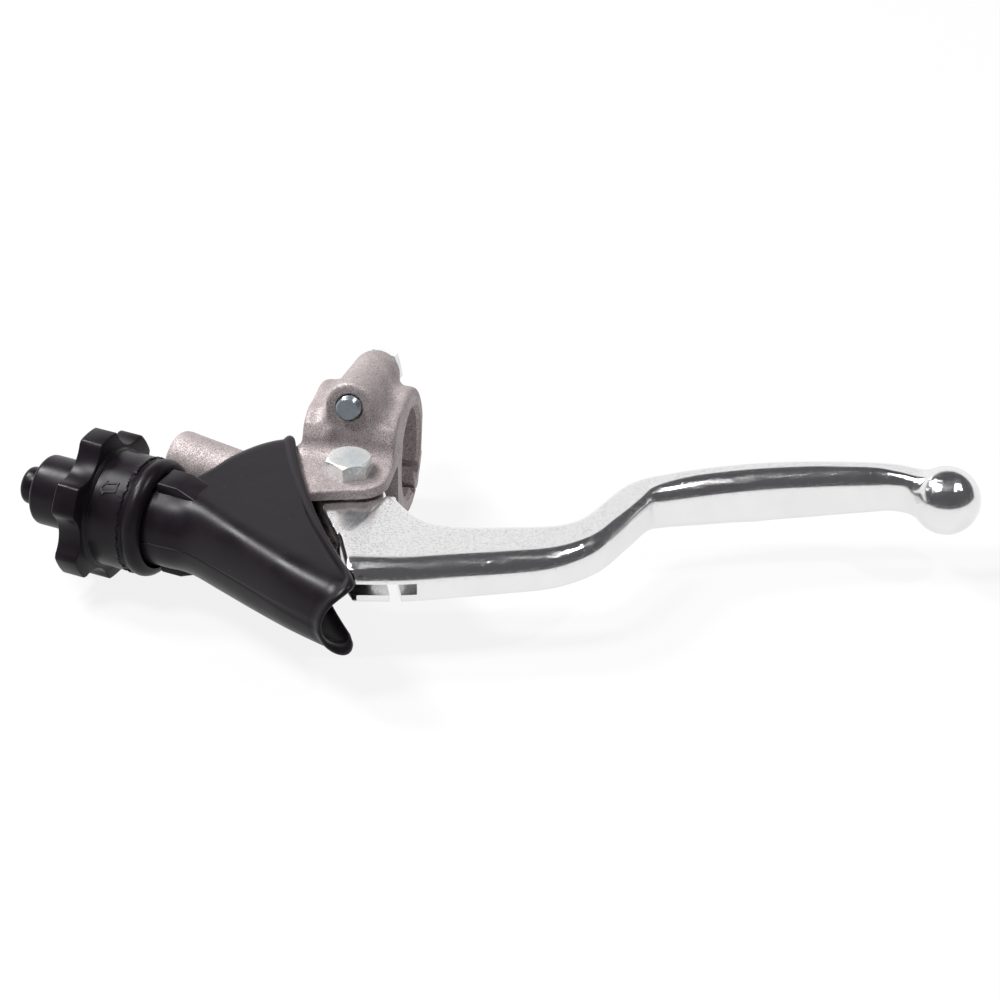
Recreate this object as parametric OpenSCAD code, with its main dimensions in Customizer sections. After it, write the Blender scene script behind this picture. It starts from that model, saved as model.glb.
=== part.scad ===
// Clutch lever and perch for a 22.2 mm handlebar, with dust boot and hand-turned cable adjuster.
// Origin: centre of the handlebar bore. +X runs along the bar to the lever's ball end,
// +Y points to the rider and +Z up along the pivot bolt. Millimetres.
// The lever is drawn squeezed right in, at the stop that it reaches when no bar is fitted.

/* [Handlebar clamp] */
// Diameter of the handlebar bore
bar_d = 22.2; // [22:0.1:22.4]
// Width of the clamp along the bar
clamp_w = 23; // [21:0.5:24]
// Wall thickness of the clamp ring
clamp_wall = 4.9; // [4.5:0.1:5]
// Height of the clamp bolt's line above the bar's axis
clamp_bolt_h = 16; // [15.8:0.1:16.4]
// Downward tilt of the clamp bolt towards its head
clamp_bolt_tilt = 13; // [11:0.5:15]
// Length of the clamp bolt under its head
clamp_bolt_len = 35; // [33:1:36]
// Radius of the cast boss around the clamp bolt
boss_r = 6; // [5.6:0.1:6.4]

/* [Fasteners] */
// Thread diameter of both hexagon bolts
bolt_d = 6; // [5.8:0.1:6]
// Size across the flats of heads and nut
hex_af = 10; // [9.8:0.1:10]
// Height of a bolt head
head_h = 4; // [3.6:0.1:4.2]

/* [Lever pivot] */
// Pivot axis, along the bar from the bore's centre
pivot_x = 1.9; // [1.7:0.1:2.1]
// Pivot axis, behind the bar's axis
pivot_y = -25; // [-25.2:0.1:-24.8]
// Height of the outer face of each ear
ear_top = 8; // [7.9:0.1:8]
// Gap between an ear's inner face and the middle plane
ear_gap = 5.4; // [5.35:0.05:5.5]
// Half thickness of the lever's hub
hub_z = 5.2; // [5:0.05:5.25]
// Outer radius of the pivot bush
bush_r = 5; // [4.5:0.1:5.5]

/* [Lever] */
// Top face of the thick part of the lever
blade_top = 6; // [5.6:0.1:6.2]
// Underside of the lever's root, around the cable nipple
blade_bottom = -3.6; // [-3.8:0.1:-3.4]
// Underside of the grip where it is deepest
grip_bottom = -6.9; // [-7.1:0.1:-6.7]
// Radius of the ball at the lever's end
ball_r = 8.3; // [8:0.1:8.4]
// Distance of the cable nipple from the pivot
nipple_arm = 29.5; // [29:0.1:30]
// Radius of the pocket for the cable nipple
nipple_r = 4.05; // [3.5:0.05:4.2]
// Height of the slot that the cable lies in
cable_slot_h = 2.9; // [2.4:0.1:3]

/* [Cable line] */
// Distance of the cable's line from the pivot axis
cable_arm = 27.7; // [27.5:0.1:27.9]
// Angle of the cable's line to the handlebar
cable_angle = 15.6; // [15:0.1:16]
// Distance along the cable's line from beside the pivot to the adjuster's open end
collar_start = 35; // [34.5:0.5:36]

/* [Adjuster] */
// Length of the soft skirt, up to the star wheel
skirt_len = 14.2; // [14:0.1:14.6]
// Outer radius of the skirt
skirt_r = 14; // [13.8:0.1:14.2]
// Outer radius of the star wheel's lobes
star_r = 18.9; // [18.5:0.1:19]
// Thickness of the star wheel
star_w = 6; // [5.8:0.1:6.2]
// Radius of the tail behind the star wheel
tail_r = 8.6; // [8.4:0.1:9]
// Length of the tail
tail_len = 12.9; // [12.5:0.1:13.2]
// Number of lobes on the star wheel
lobes = 6; // [5:1:8]
// Radius of the cable seal's nose
nose_r = 4.6; // [4.4:0.1:4.8]

/* [Dust boot] */
// Wall thickness of the boot
boot_wall = 1.4; // [1.2:0.1:1.5]
// Radius of the boot's round end
boot_tube_r = 10.8; // [10.6:0.1:10.9]
// Half height of the boot's mouth
boot_mouth_h = 9.8; // [9.7:0.1:10]

/* [Hidden] */
$fn = 64;

bar_r = bar_d / 2;
ring_r = bar_r + clamp_wall;
bolt_r = bolt_d / 2;
run_gap = 0.05;                       // radial clearance of every running fit
clear = 0.1;                          // radial clearance around plain bolts
tap_gap = 0.02;                       // clearance in the tapped clamp hole

// Clamp bolt: position along its own axis, 0 at the seam through the bar's axis
seat_t = 13.2;                        // washer face under the head
boss_front_t = -18.8;                 // floor of the shallow recess at the threaded end
boss_lip_t = -19.6;                   // rim of that recess
knuckle_tilt = 31;                    // turn of the knuckle round the bar, from straight below it

// Cable line: origin beside the pivot, +X of this frame runs out towards the cable
cable_dir = 180 - cable_angle;
skirt_bead_r = 14.3;
star_end = skirt_len + star_w;
tail_end = star_end + tail_len;
seal_start = star_end + 1.2;          // inner end of the cable seal
seal_len = tail_end + 5.1 - seal_start;
spigot_r = 8.2;
spigot_len = 9;                      // reach of the spigot into the skirt
thread_r = 4;
hub_r = 12;
hub_bore_r = 8.9;
hub_start = 4;                        // open end of the hub
hub_depth = spigot_len + 1.5 - hub_start;
seat_r = 3.1;
housing_r = 2.6;
detent_s = 7;                         // place of the detent balls along the spigot
ball_bearing_r = 1.19;

// Auxiliary boss beside the spigot
stub_r = 6.7;
stub_bore_r = 4;
stub_bore_len = 12;
stub_end = [-42.9, -17.75, 3.46];      // clears a bar that runs through the clamp
stub_angle = 163.4;
stub_rise = 5.8;
stub_len = 34.4;

// Smooth curve through a list of 2-D points, steps pieces between neighbours
function spline_at(a, b, c, d, t) =
    0.5 * (2 * b + (c - a) * t + (2 * a - 5 * b + 4 * c - d) * t * t
           + (3 * b - a - 3 * c + d) * t * t * t);
function spline(p, steps) = concat(
    [for (i = [0 : len(p) - 2], k = [0 : steps - 1])
        spline_at(p[max(i - 1, 0)], p[i], p[i + 1], p[min(i + 2, len(p) - 1)], k / steps)],
    [p[len(p) - 1]]);
// Curve moved sideways to its left by d
function side(p, i) = let (v = p[min(i + 1, len(p) - 1)] - p[max(i - 1, 0)])
    [-v.y, v.x] / norm(v);
function moved(p, d) = [for (i = [0 : len(p) - 1]) p[i] + d * side(p, i)];

module tube(r, bore, len) {
    difference() {
        cylinder(r = r, h = len);
        translate([0, 0, -1]) cylinder(r = bore, h = len + 2);
    }
}

module hex(h, af = hex_af) {
    cylinder(r = af / sqrt(3), h = h, $fn = 6);
}

// Hexagon bolt: shank from z = 0 down, head above
module hex_bolt(len) {
    intersection() {
        hex(head_h);
        union() {
            cylinder(r = hex_af / sqrt(3), h = head_h - 0.7);
            translate([0, 0, head_h - 0.7])
                cylinder(r1 = hex_af / sqrt(3), r2 = hex_af / 2 - 0.45, h = 0.7);
        }
    }
    translate([0, 0, -len + 0.5]) cylinder(r = bolt_r, h = len - 0.5);
    translate([0, 0, -len]) cylinder(r1 = bolt_r - 0.5, r2 = bolt_r, h = 0.5);
}

// Children drawn along +Z are laid along the clamp bolt, z = 0 at the clamp's seam
module on_clamp_bolt() {
    rotate([-90 - clamp_bolt_tilt, 0, 0]) translate([0, -clamp_bolt_h, 0]) children();
}

// Children drawn along +Z are laid along the cable's line, z = 0 at the skirt's open end
module on_cable_line() {
    translate([pivot_x, pivot_y, 0]) rotate([0, 0, cable_dir])
        translate([collar_start, cable_arm, 0]) rotate([0, 90, 0]) children();
}

// Children drawn along +Z run from the auxiliary boss's open end back to its root
module on_stub() {
    translate(stub_end) rotate([0, 0, stub_angle]) rotate([0, -90 - stub_rise, 0]) children();
}

module at_pivot(z) {
    translate([pivot_x, pivot_y, z]) children();
}

// Space behind the seams: over the bar on the side of the clamp bolt's head, down to the knuckle
module behind_seam() {
    intersection_for (tilt = [-clamp_bolt_tilt, knuckle_tilt])
        rotate([tilt, 0, 0]) translate([-50, 0, -50]) cube([100, 60, 100]);
}

module bar_bore() {
    rotate([0, 90, 0]) cylinder(r = bar_r, h = clamp_w + 4, center = true);
}

module ring_and_boss() {
    rotate([0, 90, 0]) cylinder(r = ring_r, h = clamp_w, center = true);
    on_clamp_bolt() translate([0, 0, boss_lip_t]) cylinder(r = boss_r, h = seat_t - boss_lip_t);
    // neck that joins the boss to the ring
    on_clamp_bolt() translate([-boss_r, 0, -12]) cube([2 * boss_r, 10, 20]);
}

// Rounded knuckle of the cap, and the seat for it in the perch
module knuckle(gap) {
    rotate([knuckle_tilt, 0, 0]) translate([0, 0, -bar_r - clamp_wall / 2]) rotate([0, 90, 0])
        cylinder(r = clamp_wall / 2 - 0.05 + gap, h = clamp_w + (gap > 0 ? 2 : 0), center = true);
}

// Outline of both ears, seen from above
function ear_outline() = concat(
    [[11.8, -10], [11.8, -26]],
    [for (a = [10 : 20 : 90]) [11.8 - 7.5 + 7.5 * cos(a), -26 - 7.5 * sin(a)]],
    [[-8, -37], [-12.5, -38.5], [-12.5, -10]]);

// Outline of the arm that carries the spigot and the released stop of the lever
function arm_outline() = [[-8, -10], [-7.9, -25], [-9, -30], [-10.6, -35], [-12.6, -44.8],
    [-14.2, -50.5], [-16, -54], [-24, -54], [-26, -38], [-17, -22], [-11.5, -12]];

module perch_body() {
    color([0.66, 0.63, 0.61])
    difference() {
        union() {
            difference() {
                ring_and_boss();
                behind_seam();
            }
            // shoulder over the front of the ring, level with the boss
            rotate([90, 0, 90]) translate([0, 0, -clamp_w / 2])
                linear_extrude(clamp_w)
                polygon([[0.5, 12], [-2.5, 15.8], [-11, 16.4], [-15.4, 14.8], [-17.2, 12],
                         [-17.6, ear_gap], [-8, ear_gap]]);
            for (z = [ear_gap, -ear_top])
                translate([0, 0, z]) linear_extrude(ear_top - ear_gap) polygon(ear_outline());
            translate([0, 0, -ear_top]) linear_extrude(2 * ear_top) polygon(arm_outline());
            on_cable_line() translate([0, 0, -24]) cylinder(r = spigot_r, h = 24 + spigot_len);
            on_stub() cylinder(r = stub_r, h = stub_len);
        }
        bar_bore();
        knuckle(0.3);
        // open side of the knuckle's seat
        rotate([knuckle_tilt - 7, 0, 0]) translate([-50, 0, -20]) cube([100, 6, 9]);
        on_clamp_bolt() translate([0, 0, -25]) cylinder(r = bolt_r + tap_gap, h = 60);
        on_clamp_bolt() translate([0, 0, boss_lip_t - 1])
            cylinder(r = bolt_r + 1.4, h = boss_front_t - boss_lip_t + 1);
        at_pivot(-20) cylinder(r = bolt_r + clear, h = 40);
        // room for the lever's hub and its swing between the ears
        at_pivot(-ear_gap) cylinder(r = 9.1, h = 2 * ear_gap);
        on_cable_line() translate([0, 0, -40]) cylinder(r = thread_r + run_gap, h = 60);
        for (a = [0, 180]) on_cable_line() rotate([0, 0, a]) detent_pocket();
        on_stub() translate([0, 0, -1]) cylinder(r = stub_bore_r, h = stub_bore_len + 1);
    }
}

module clamp_cap() {
    color([0.66, 0.63, 0.61])
    difference() {
        union() {
            intersection() {
                ring_and_boss();
                behind_seam();
            }
            knuckle(0);
        }
        bar_bore();
        on_clamp_bolt() translate([0, 0, -25]) cylinder(r = bolt_r + clear, h = 60);
    }
}

module clamp_bolt() {
    color([0.72, 0.76, 0.8])
    on_clamp_bolt() translate([0, 0, seat_t]) rotate([0, 0, 15]) hex_bolt(clamp_bolt_len);
}

module pivot_bolt() {
    color([0.75, 0.76, 0.74])
    at_pivot(ear_top) rotate([0, 0, -93]) hex_bolt(25);
}

module pivot_nut() {
    color([0.72, 0.76, 0.8])
    at_pivot(-ear_top - 5.5) difference() {
        hex(5.5);
        translate([0, 0, -1]) cylinder(r = bolt_r + tap_gap, h = 8);
        translate([0, 0, -1]) cylinder(r = 4, h = 2.2);
    }
}

module nut_insert() {
    color([0.2, 0.3, 0.7])
    at_pivot(-ear_top - 5.4) tube(4, bolt_r + tap_gap, 1.1);
}

module pivot_bush() {
    color([0.7, 0.5, 0.25])
    at_pivot(-ear_gap + 0.05) tube(bush_r, bolt_r + run_gap, 2 * ear_gap - 0.1);
}

// Radial hole for one detent ball and its spring, in the spigot's wall
module detent_pocket() {
    translate([0, 0, detent_s]) rotate([0, 90, 0]) translate([0, 0, thread_r + 0.45])
        cylinder(r = ball_bearing_r + 0.03, h = 6);
}

module detent_balls() {
    color([0.8, 0.8, 0.82])
    for (a = [0, 180]) on_cable_line() rotate([0, 0, a])
        translate([8.55 - ball_bearing_r, 0, detent_s]) sphere(r = ball_bearing_r, $fn = 32);
}

module detent_springs() {
    color([0.6, 0.6, 0.62])
    for (a = [0, 180]) on_cable_line() rotate([0, 0, a])
        for (k = [0 : 2]) translate([thread_r + 0.65 + 0.4 * k, 0, detent_s])
            rotate([0, 90, 0]) rotate_extrude() translate([0.8, 0]) circle(r = 0.2, $fn = 16);
}

// Lever outlines, seen from above, from the hub to the neck of the ball
front_edge = spline([[11.1, -64.6], [23.1, -62.4], [34.1, -58.9], [46.8, -54.9], [55.3, -51.6],
    [61.2, -47.4], [66.1, -41.5], [69.8, -32.9], [73.6, -22.7], [76.3, -17.7], [84.9, -12.3],
    [97.9, -6.8], [111, -2.9], [124.2, -0.2], [129.5, 0], [136, -1.5]], 3);
back_edge = spline([[14, -30.5], [20, -38], [26, -41.4], [34, -41.2], [44, -39.2], [52.6, -37],
    [57, -34.6], [60.6, -29.8], [66, -17.2], [70, -11.8], [77, -7.3], [90, -1.2], [103, 3],
    [117, 5.7], [130, 7], [137, 6]], 3);

function reversed(p) = [for (i = [len(p) - 1 : -1 : 0]) p[i]];
function blade_outline(inset) = concat(moved(front_edge, inset), reversed(back_edge),
    [[12, -31.2], [4.4, -49.3], [8.9, -62]]);

// Side view of the blade: flat on top, thin through the bends and deep in the grip
underside = [[30, blade_bottom], [47, -3.2], [72, -2.8], [76.3, -4.6], [85, -6.1],
    [98, grip_bottom], [111, -6.4], [124, -5.2], [133, -4], [150, -4]];

module blade() {
    intersection() {
        union() {
            translate([0, 0, grip_bottom]) linear_extrude(2.2 - grip_bottom)
                polygon(blade_outline(0));
            translate([0, 0, 2.2]) linear_extrude(2.2) polygon(blade_outline(1));
            translate([0, 0, 4.4]) linear_extrude(blade_top - 4.4) polygon(blade_outline(3));
        }
        rotate([90, 0, 0]) translate([0, 0, -20]) linear_extrude(100)
            polygon(concat([[-20, blade_top], [-20, blade_bottom]], underside, [[150, blade_top]]));
    }
}

module lever_blade() {
    color([0.85, 0.86, 0.88])
    difference() {
        union() {
            at_pivot(-hub_z) cylinder(r = 8.5, h = 2 * hub_z);
            translate([0, 0, -hub_z]) linear_extrude(2 * hub_z)
                polygon([[-6, -28], [-2.2, -38], [3.4, -48.4], [5.6, -52], [16, -44], [13, -31.8],
                         [10.2, -24]]);
            blade();
            translate([142.4, 1.3, 0]) sphere(r = ball_r);
        }
        at_pivot(-10) cylinder(r = bush_r, h = 20);
        at_nipple() {
            translate([0, 0, blade_bottom - 2]) cylinder(r = nipple_r, h = 4.4 - blade_bottom);
            // gap through the lower lip, to hang the nipple in
            rotate([0, 0, 20]) translate([-1.3, -20, blade_bottom - 1])
                cube([2.6, 20, -blade_bottom]);
            translate([-30, -20, -cable_slot_h / 2]) cube([39.3, 20, cable_slot_h]);
        }
    }
}

module at_nipple() {
    at_pivot(0) rotate([0, 0, -60]) translate([nipple_arm, 0, 0]) rotate([0, 0, 60]) children();
}

// Dust boot: stations from the round end to the mouth, each with its front point,
// its back point, its half height and the radius of its back corners
tube_r = boot_tube_r;
cable_unit = [cos(cable_dir), sin(cable_dir)];
cable_left = [-cable_unit.y, cable_unit.x];
function cable_xy(s, w) = [pivot_x, pivot_y] + (collar_start + s) * cable_unit
    + (cable_arm + w) * cable_left;
boot_front = [cable_xy(3, tube_r), cable_xy(-4, tube_r), [-31, -55.8], [-22, -61.5], [-12, -69],
    [-3, -75.8], [7, -83]];
boot_back = [cable_xy(3, -tube_r), cable_xy(-4, -tube_r), [-29.8, -28.5], [-27.5, -22.5],
    [-23.5, -16.8], [-19.6, -13.6], [-15.5, -12]];
boot_shape = [[tube_r, tube_r - 0.3], [tube_r, tube_r - 0.3], [10.6, 8.5], [10.3, 7],
    [10, 6], [boot_mouth_h, 5], [boot_mouth_h, 4.5]];
boot_rings = len(boot_front);
lip_reach = 9;                        // how far the mouth's corners lead its middle

function arc(cx, cz, r, a0, a1, n) =
    [for (i = [0 : n]) [cx + r * cos(a0 + (a1 - a0) * i / n), cz + r * sin(a0 + (a1 - a0) * i / n)]];
function flat(a, b, z, n) = [for (i = [1 : n]) [a + (b - a) * i / (n + 1), z]];
function section(w, h, rb) = concat(
    arc(h, 0, h, 270, 90, 8), flat(h, w - rb, h, 2),
    arc(w - rb, h - rb, rb, 90, 0, 3), arc(w - rb, rb - h, rb, 0, -90, 3),
    flat(w - rb, h, -h, 2));
function lip(p, w, z, h, u) =
    lip_reach * u * u * pow(max(0, min(p / w, 1)), 2.5) * (1 - sqrt(max(0, 1 - pow(z / h, 2))));
function boot_ring(i, inset) =
    let (f = boot_front[i], k = boot_back[i], span = norm(k - f), dir = (k - f) / span,
         h = boot_shape[i].x - inset, rb = boot_shape[i].y - inset,
         u = max(0, (i / (boot_rings - 1) - 0.3) / 0.7))
    [for (q = section(span - 2 * inset + 0.1, h, rb))
        let (xy = f + (q.x + inset) * dir)
        [xy.x + lip(span - q.x, span, q.y, h, u), xy.y, q.y]];

module boot_shell() {
    outer = [for (i = [0 : boot_rings - 1]) boot_ring(i, 0)];
    inner = [for (i = [0 : boot_rings - 1]) boot_ring(i, boot_wall)];
    n = len(outer[0]);
    m = boot_rings;
    points = concat([for (r = outer, p = r) p], [for (r = inner, p = r) p]);
    skin = [for (i = [0 : m - 2], j = [0 : n - 1])
        [i * n + j, i * n + (j + 1) % n, (i + 1) * n + (j + 1) % n, (i + 1) * n + j]];
    lining = [for (f = skin) [for (k = [3 : -1 : 0]) f[k] + m * n]];
    ends = [for (j = [0 : n - 1]) each [
        [j, j + m * n, (j + 1) % n + m * n, (j + 1) % n],
        [(m - 1) * n + (j + 1) % n, (m - 1) * n + (j + 1) % n + m * n,
         (m - 1) * n + j + m * n, (m - 1) * n + j]]];
    // every four-sided face is split, so that each piece is flat
    polyhedron(points, [for (f = concat(skin, lining, ends)) each
        [[f[0], f[1], f[2]], [f[0], f[2], f[3]]]]);
}

module boot_lug(up) {
    on_cable_line() rotate([0, 0, up ? 180 : 0]) rotate([90, 0, 0]) translate([0, 0, -4])
        linear_extrude(8) polygon([[9.8, -0.5], [12.3, -0.5], [12.3, -6], [9.8, -13]]);
}

module dust_boot() {
    color([0.1, 0.1, 0.1])
    difference() {
        union() {
            boot_shell();
            boot_lug(true);
            boot_lug(false);
        }
        // the auxiliary boss leaves through the open back of the boot
        on_stub() cylinder(r = stub_r + 0.6, h = stub_len);
        translate([-31, -22, -7.3]) cube([22, 13, 14.6]);
    }
}

module star_outline() {
    difference() {
        circle(r = star_r);
        for (k = [0 : lobes - 1]) rotate(k * 360 / lobes + 30)
            translate([star_r + 4.2, 0]) circle(r = 7.8);
    }
}

module dial_cover() {
    color([0.12, 0.12, 0.12])
    difference() {
        on_cable_line() union() {
            cylinder(r = skirt_r, h = skirt_len + 0.5);
            rotate_extrude() translate([skirt_bead_r - 2.4, 2.4]) circle(r = 2.4);
            translate([0, 0, skirt_len]) linear_extrude(star_w) star_outline();
            translate([0, 0, star_end - 0.5]) cylinder(r = tail_r, h = tail_len + 0.5);
        }
        on_cable_line() translate([0, 0, -1]) cylinder(r = hub_r, h = skirt_len + 1);
        on_cable_line() cylinder(r = 7.2, h = star_end + 1);
        on_cable_line() cylinder(r = nose_r + 0.1, h = tail_end + 1);
    }
}

module dial_hub() {
    color([0.6, 0.6, 0.63])
    on_cable_line() difference() {
        translate([0, 0, hub_start]) cylinder(r = hub_r, h = skirt_len - hub_start);
        translate([0, 0, hub_start - 1]) cylinder(r = hub_bore_r, h = hub_depth);
        cylinder(r = thread_r, h = skirt_len + 1);
        for (k = [0 : 11]) rotate([0, 0, 30 * k]) translate([hub_bore_r + 0.3, 0, hub_start - 1])
            cylinder(r = 1.2, h = hub_depth, $fn = 24);
    }
}

module adjuster_screw() {
    color([0.7, 0.68, 0.6])
    on_cable_line() difference() {
        union() {
            translate([0, 0, -12]) cylinder(r = thread_r, h = 12 + skirt_len);
            translate([0, 0, skirt_len]) cylinder(r = 7.2, h = star_w);
        }
        translate([0, 0, -13]) cylinder(r = 1.5, h = 40);
        translate([0, 0, skirt_len - 3]) cylinder(r = seat_r + run_gap, h = star_w + 4);
    }
}

module cable_seat() {
    color([0.75, 0.75, 0.75])
    on_cable_line() difference() {
        translate([0, 0, skirt_len - 2.8]) cylinder(r = seat_r, h = star_w + 3.8);
        translate([0, 0, skirt_len - 4]) cylinder(r = 1.4, h = 20);
        translate([0, 0, skirt_len - 1.8]) cylinder(r = housing_r, h = 20);
    }
}

module cable_seal() {
    color([0.1, 0.1, 0.1])
    on_cable_line() translate([0, 0, seal_start]) difference() {
        union() {
            cylinder(r = nose_r, h = seal_len - 0.8);
            translate([0, 0, seal_len - 0.8]) cylinder(r1 = nose_r, r2 = nose_r - 0.8, h = 0.8);
        }
        translate([0, 0, -1]) cylinder(r = housing_r, h = seal_len + 2);
    }
}

perch_body();
clamp_cap();
clamp_bolt();
pivot_bolt();
pivot_nut();
nut_insert();
dust_boot();
detent_balls();
detent_springs();
lever_blade();
pivot_bush();
dial_cover();
dial_hub();
adjuster_screw();
cable_seat();
cable_seal();
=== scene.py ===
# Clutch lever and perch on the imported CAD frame. Lengths are millimetres until a mesh is made.
import math

import bmesh
import bpy
from mathutils import Matrix, Vector, noise


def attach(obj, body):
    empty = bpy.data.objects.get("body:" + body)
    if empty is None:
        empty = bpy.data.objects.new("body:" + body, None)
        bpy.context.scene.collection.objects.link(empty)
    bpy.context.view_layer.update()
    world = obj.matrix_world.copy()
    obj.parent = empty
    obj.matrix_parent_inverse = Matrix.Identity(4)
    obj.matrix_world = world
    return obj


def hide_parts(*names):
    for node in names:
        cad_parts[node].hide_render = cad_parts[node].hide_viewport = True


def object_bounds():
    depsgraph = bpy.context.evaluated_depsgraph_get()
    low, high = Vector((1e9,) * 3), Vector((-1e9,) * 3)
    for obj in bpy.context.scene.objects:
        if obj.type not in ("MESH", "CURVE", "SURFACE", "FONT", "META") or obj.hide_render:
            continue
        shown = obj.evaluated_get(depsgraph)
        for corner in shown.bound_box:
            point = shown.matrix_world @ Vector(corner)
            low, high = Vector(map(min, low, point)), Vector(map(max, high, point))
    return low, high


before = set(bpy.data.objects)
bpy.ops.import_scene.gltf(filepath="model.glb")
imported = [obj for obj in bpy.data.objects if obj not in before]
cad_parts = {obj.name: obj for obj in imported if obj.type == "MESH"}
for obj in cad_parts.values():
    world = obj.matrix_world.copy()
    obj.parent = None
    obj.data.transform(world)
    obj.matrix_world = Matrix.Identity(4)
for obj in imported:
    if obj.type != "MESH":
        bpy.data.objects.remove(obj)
cad_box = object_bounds()

MM = 0.001
PIVOT = Vector((1.9, -25.0, 0.0))
BAR_R = 11.1
CLAMP_HALF = 11.5
RING_R = 16.0
BOLT_R = 3.0
HEAD_SEAT = 13.2
EAR_TOP = 8.0
EAR_GAP = 5.4
SEAM_TILT = -103
KNUCKLE_TILT = 31
STUB_END = Vector((-42.9, -17.75, 3.46))
STUB_R = 6.7
STUB_LEN = 34.4
SOCKET_R = 4.0
SCREW_R = 4.0
CABLE_TURN = 164.4
CABLE_START = 35
CABLE_OFFSET = 27.7
DETENT_Z = 7
NIPPLE = (16.65, -50.548, 0)
NIPPLE_R = 4.05


# ---------------------------------------------------------------- frames

def axes(origin, x, y, z):
    """Matrix of a local frame, from its origin and its three unit axes."""
    m = Matrix.Identity(4)
    for i, column in enumerate((x, y, z, origin)):
        for j in range(3):
            m[j][i] = column[j]
    return m


def cable_frame():
    """Local Z runs out along the cable, 0 at the open end of the adjuster's skirt."""
    a = math.radians(CABLE_TURN)
    u = Vector((math.cos(a), math.sin(a), 0))
    left = Vector((-math.sin(a), math.cos(a), 0))
    return axes(PIVOT + CABLE_START * u + CABLE_OFFSET * left, Vector((0, 0, -1)), left, u)


def clamp_bolt_frame():
    """Local Z runs along the clamp bolt towards its head, 0 at the seam."""
    a = math.radians(SEAM_TILT)
    y = Vector((0, math.cos(a), math.sin(a)))
    z = Vector((0, -math.sin(a), math.cos(a)))
    return axes(-RING_R * y, Vector((1, 0, 0)), y, z)


def stub_frame():
    """Local Z runs from the auxiliary boss's open end back to its root."""
    a = math.radians(163.4)
    t = math.radians(-95.8)
    x = Vector((math.cos(t) * math.cos(a), math.cos(t) * math.sin(a), -math.sin(t)))
    y = Vector((-math.sin(a), math.cos(a), 0))
    z = Vector((math.sin(t) * math.cos(a), math.sin(t) * math.sin(a), math.cos(t)))
    return axes(STUB_END, x, y, z)


CABLE = cable_frame()
BOLT = clamp_bolt_frame()
STUB = stub_frame()
BAR = axes(Vector((0, 0, 0)), Vector((0, 1, 0)), Vector((0, 0, 1)), Vector((1, 0, 0)))


def turned(angle, axis):
    """Rotation by degrees about a local axis."""
    return Matrix.Rotation(math.radians(angle), 4, axis)


def raised(z):
    """Frame at the pivot, at height z."""
    return Matrix.Translation(PIVOT + Vector((0, 0, z)))


def detent_frame(side):
    """Local Z runs outward along a detent's hole, on one side of the cable."""
    return CABLE @ turned(side, "Z") @ Matrix.Translation((0, 0, DETENT_Z)) @ turned(90, "Y")


# ---------------------------------------------------------------- mesh tools

def link(name, mesh):
    obj = bpy.data.objects.new(name, mesh)
    bpy.context.scene.collection.objects.link(obj)
    return obj


def solid(name, points, faces, matrix=Matrix.Identity(4)):
    """Closed mesh from points in millimetres in a local frame, normals outward."""
    mesh = bpy.data.meshes.new(name)
    mesh.from_pydata([(matrix @ Vector(p)) * MM for p in points], [], faces)
    bm = bmesh.new()
    bm.from_mesh(mesh)
    bmesh.ops.remove_doubles(bm, verts=bm.verts, dist=1e-7)
    bmesh.ops.recalc_face_normals(bm, faces=bm.faces)
    bm.to_mesh(mesh)
    bm.free()
    return link(name, mesh)


def skin(rows, loop=False):
    """Points of the rings in rows, and the quads between each ring and the next."""
    n = len(rows[0])
    points = [p for row in rows for p in row]
    faces = []
    for i in range(len(rows) if loop else len(rows) - 1):
        low = i * n
        high = (i + 1) % len(rows) * n
        for k in range(n):
            j = (k + 1) % n
            faces.append([low + k, low + j, high + j, high + k])
    return points, faces


def end_caps(rows):
    """Faces that close the first and the last ring."""
    n = len(rows[0])
    last = (len(rows) - 1) * n
    return [list(range(n))[::-1], list(range(last, last + n))]


def without_repeats(face):
    """The face with each corner that repeats the one before it left out."""
    return [v for i, v in enumerate(face) if v != face[i - 1]]


def revolve(name, profile, matrix=Matrix.Identity(4), n=96, bump=None):
    """Solid of revolution about local Z.

    The profile is (radius, z) points, from axis to axis or a closed loop.
    """
    points = []
    rows = []
    loop = profile[0][0] > 1e-6
    for r, z in profile:
        if r < 1e-6:
            rows.append([len(points)] * n)
            points.append((0, 0, z))
            continue
        rows.append(list(range(len(points), len(points) + n)))
        for k in range(n):
            a = 2 * math.pi * k / n
            radius, height = bump(r, z, a) if bump else (r, z)
            points.append((radius * math.cos(a), radius * math.sin(a), height))
    faces = []
    following = rows[1:] + rows[:1] if loop else rows[1:]
    for low, high in zip(rows, following):
        for k in range(n):
            j = (k + 1) % n
            face = without_repeats([low[k], low[j], high[j], high[k]])
            if len(face) > 2:
                faces.append(face)
    return solid(name, points, faces, matrix)


def prism(name, outline, z0, z1, matrix=Matrix.Identity(4)):
    """Upright prism over a closed outline."""
    rows = [[(x, y, z) for x, y in outline] for z in (z0, z1)]
    points, sides = skin(rows)
    return solid(name, points, end_caps(rows) + sides, matrix)


def cylinder(name, r, z0, z1, matrix=Matrix.Identity(4), n=96):
    return prism(name, circle(r, n), z0, z1, matrix)


def circle(r, n=64, cx=0.0, cy=0.0):
    step = 2 * math.pi / n
    return [(cx + r * math.cos(step * k), cy + r * math.sin(step * k)) for k in range(n)]


def block(name, low, high, matrix=Matrix.Identity(4)):
    outline = [(low[0], low[1]), (high[0], low[1]), (high[0], high[1]), (low[0], high[1])]
    return prism(name, outline, low[2], high[2], matrix)


def applied(obj):
    """Turns the object's modifiers into its mesh."""
    graph = bpy.context.evaluated_depsgraph_get()
    mesh = bpy.data.meshes.new_from_object(obj.evaluated_get(graph))
    old = obj.data
    obj.modifiers.clear()
    obj.data = mesh
    bpy.data.meshes.remove(old)
    return obj


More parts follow.
